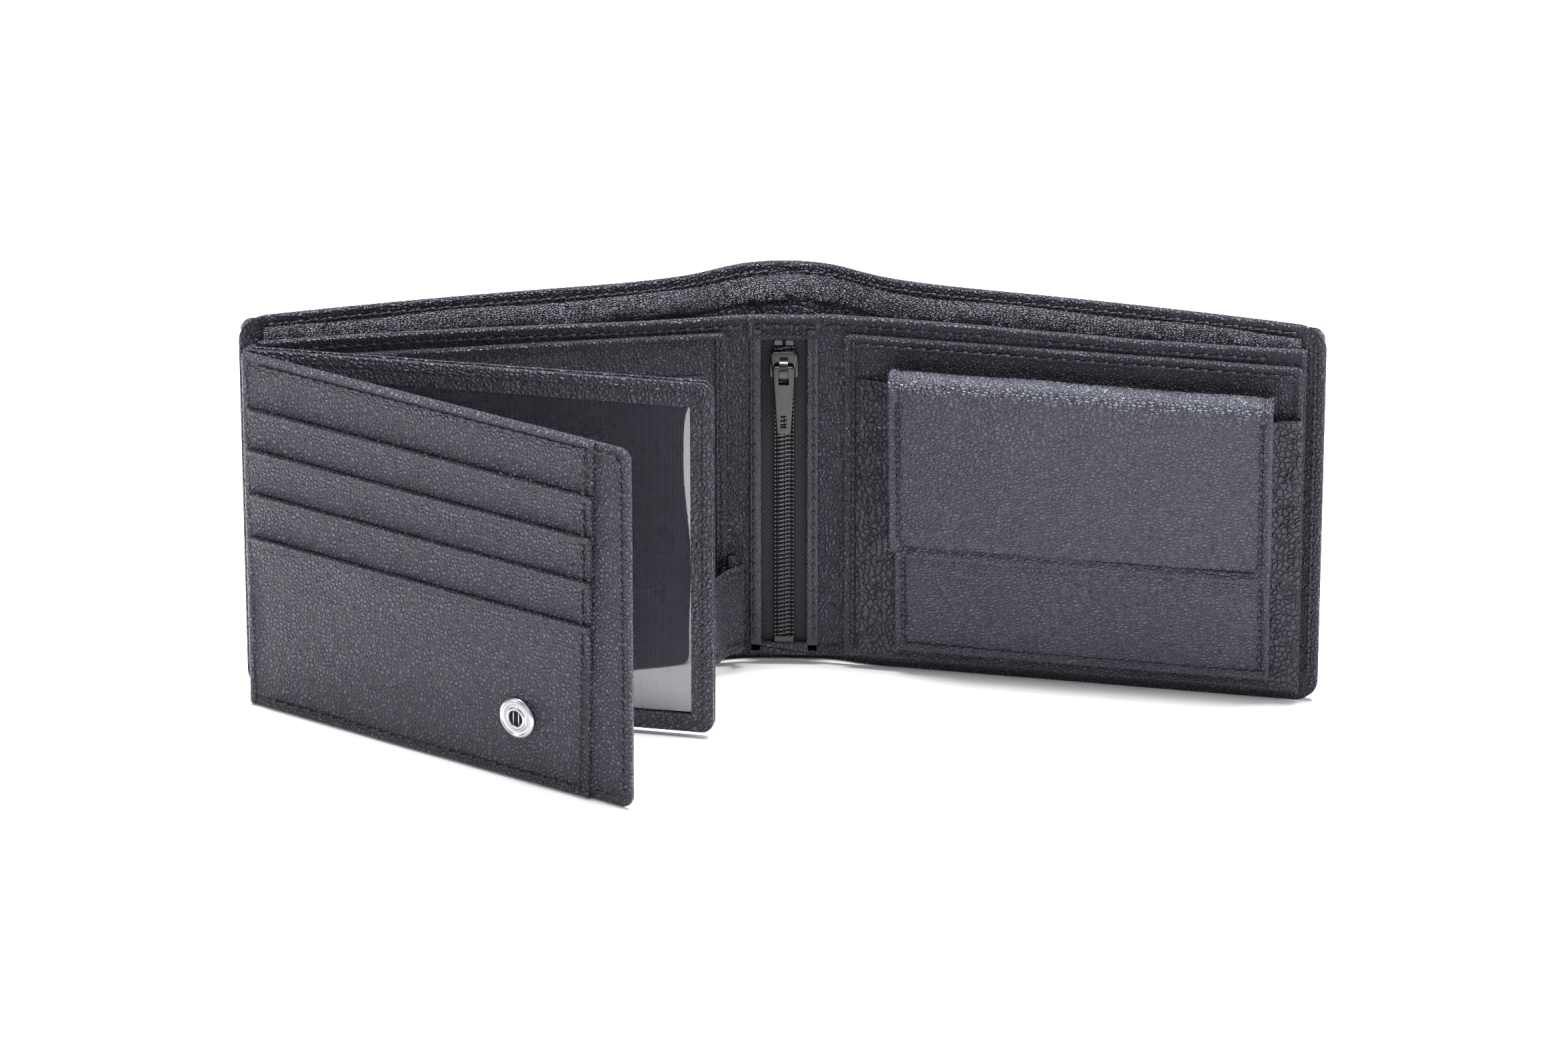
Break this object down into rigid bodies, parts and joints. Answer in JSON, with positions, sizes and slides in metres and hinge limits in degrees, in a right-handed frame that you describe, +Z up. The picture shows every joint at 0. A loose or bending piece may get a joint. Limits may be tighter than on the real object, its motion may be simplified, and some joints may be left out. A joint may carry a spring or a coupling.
{
  "type": "trifold wallet",
  "caption": "Black leather trifold wallet with card leaves, a clear window leaf, a zip pocket, a flapped coin pocket and a bill compartment.",
  "frame": {"origin": "on the ground under the middle of the open wallet's bounding box", "axes": "+X to the reader's right along the open wallet, +Y away from the reader, +Z up along the zip"},
  "size_m": [0.2564, 0.1124, 0.0955],
  "materials": {
    "leather": "fine pebbled grain, semi-matte",
    "lining": "coarse crinkled grain",
    "zip_tape": "woven herringbone tape",
    "zip_coil": "glossy nylon coil",
    "black_metal": "glossy black enamel on zinc alloy",
    "nickel": "bright nickel plate",
    "film": "clear PVC film",
    "mesh_cloth": "fine woven mesh"
  },
  "bodies": {
    "zip_strip": {"cover_spine": "leather", "cover_lining_spine": "lining", "cover_facing_spine": "leather", "zip_facing": "leather", "zip_tape_left": "zip_tape", "zip_tape_right": "zip_tape", "zip_coil_left": "zip_coil", "zip_coil_right": "zip_coil", "zip_top_stop_left": "black_metal", "zip_top_stop_right": "black_metal", "zip_bottom_stop": "black_metal", "zip_pouch_lining": "lining"},
    "left_half": {"cover_left": "leather", "cover_lining_left": "lining", "cover_facing_left": "leather", "inner_panel_left": "leather", "card_block_backing": "leather", "card_block_top_band": "leather", "card_block_pocket": "leather", "strap_anchor": "leather"},
    "right_half": {"cover_right": "leather", "cover_lining_right": "lining", "cover_facing_right": "leather", "inner_panel_right": "leather", "coin_base_panel": "leather", "coin_gusset_left": "lining", "coin_gusset_right": "lining", "flap_root": "leather"},
    "window_strip": {"window_leaf_hinge": "leather"},
    "window_leaf": {"window_frame_front": "leather", "window_film": "film", "window_mesh": "mesh_cloth", "window_frame_back": "leather"},
    "front_strip": {"front_leaf_hinge": "leather"},
    "front_leaf": {"front_leaf_back": "leather", "front_leaf_top_band": "leather", "front_leaf_slot_1": "leather", "front_leaf_slot_2": "leather", "front_leaf_slot_3": "leather", "front_leaf_slot_4": "leather", "snap_socket": "nickel", "snap_socket_spring": "nickel", "snap_socket_cap": "nickel"},
    "strap_root": {"strap_root": "leather"},
    "strap_tip": {"strap_tip": "leather", "strap_stud": "nickel", "strap_cap": "nickel"},
    "coin_front": {"coin_pocket_front": "leather", "pocket_magnet": "nickel"},
    "coin_flap": {"coin_flap": "leather", "flap_magnet": "nickel"},
    "zip_slider": {"zip_slider": "black_metal", "zip_slider_bridge": "black_metal"},
    "zip_pull": {"zip_pull_tab": "black_metal"}
  },
  "joints": [
    {"name": "fold_right", "type": "hinge", "parent": "zip_strip", "child": "right_half", "pos_m": [0.01, 0.03183, 0], "axis": [0, 0, -1], "range_deg": [-10.4, 76.6]},
    {"name": "fold_left", "type": "hinge", "parent": "zip_strip", "child": "left_half", "pos_m": [-0.01, 0.03183, 0], "axis": [0, 0, 1], "range_deg": [-10.4, 76.6]},
    {"name": "window_press", "type": "hinge", "parent": "left_half", "child": "window_strip", "pos_m": [-0.12537, 0.00679, 0], "axis": [0, 0, -1], "range_deg": [-18.4, 2.6]},
    {"name": "window_turn", "type": "hinge", "parent": "window_strip", "child": "window_leaf", "pos_m": [-0.12537, 0.00679, 0], "axis": [0, 0, -1], "range_deg": [-9, 100]},
    {"name": "front_press", "type": "hinge", "parent": "window_leaf", "child": "front_strip", "pos_m": [-0.12548, 0.00403, 0], "axis": [0, 0, -1], "range_deg": [-22.8, 3.2]},
    {"name": "front_turn", "type": "hinge", "parent": "front_strip", "child": "front_leaf", "pos_m": [-0.12548, 0.00403, 0], "axis": [0, 0, -1], "range_deg": [-21, 100]},
    {"name": "strap_press", "type": "hinge", "parent": "left_half", "child": "strap_root", "pos_m": [-0.01091, 0.02902, 0], "axis": [0, 0, 1], "range_deg": [-48.3, 6.7]},
    {"name": "strap_bend", "type": "hinge", "parent": "strap_root", "child": "strap_tip", "pos_m": [-0.01733, 0.01772, 0], "axis": [0, 0, 1], "range_deg": [-6.4, 46.1]},
    {"name": "coin_flap", "type": "hinge", "parent": "right_half", "child": "coin_flap", "pos_m": [0.07075, 0.0155, 0.0756], "axis": [-0.9836, 0.1805, 0], "range_deg": [0, 160]},
    {"name": "coin_front", "type": "hinge", "parent": "right_half", "child": "coin_front", "pos_m": [0.07142, 0.01914, 0.006], "axis": [0.9836, -0.1805, 0], "range_deg": [0, 6], "deforming": ["coin_gusset_left", "coin_gusset_right"]},
    {"name": "zip_slide", "type": "slide", "parent": "zip_strip", "child": "zip_slider", "axis": [0, 0, 1], "range_m": [-0.066, 0.001]},
    {"name": "zip_pull", "type": "hinge", "parent": "zip_slider", "child": "zip_pull", "pos_m": [0, 0.02953, 0.0774], "axis": [-1, 0, 0], "range_deg": [0, 165]}
  ],
  "couplings": [
    {"joint": "window_press", "follows": "fold_left", "ratio": -0.2389},
    {"joint": "front_press", "follows": "fold_left", "ratio": -0.29635},
    {"joint": "strap_press", "follows": "fold_left", "ratio": -0.62924},
    {"joint": "strap_bend", "follows": "fold_left", "ratio": 0.60052},
    {"joint": "coin_front", "follows": "coin_flap", "ratio": 0.0375}
  ]
}
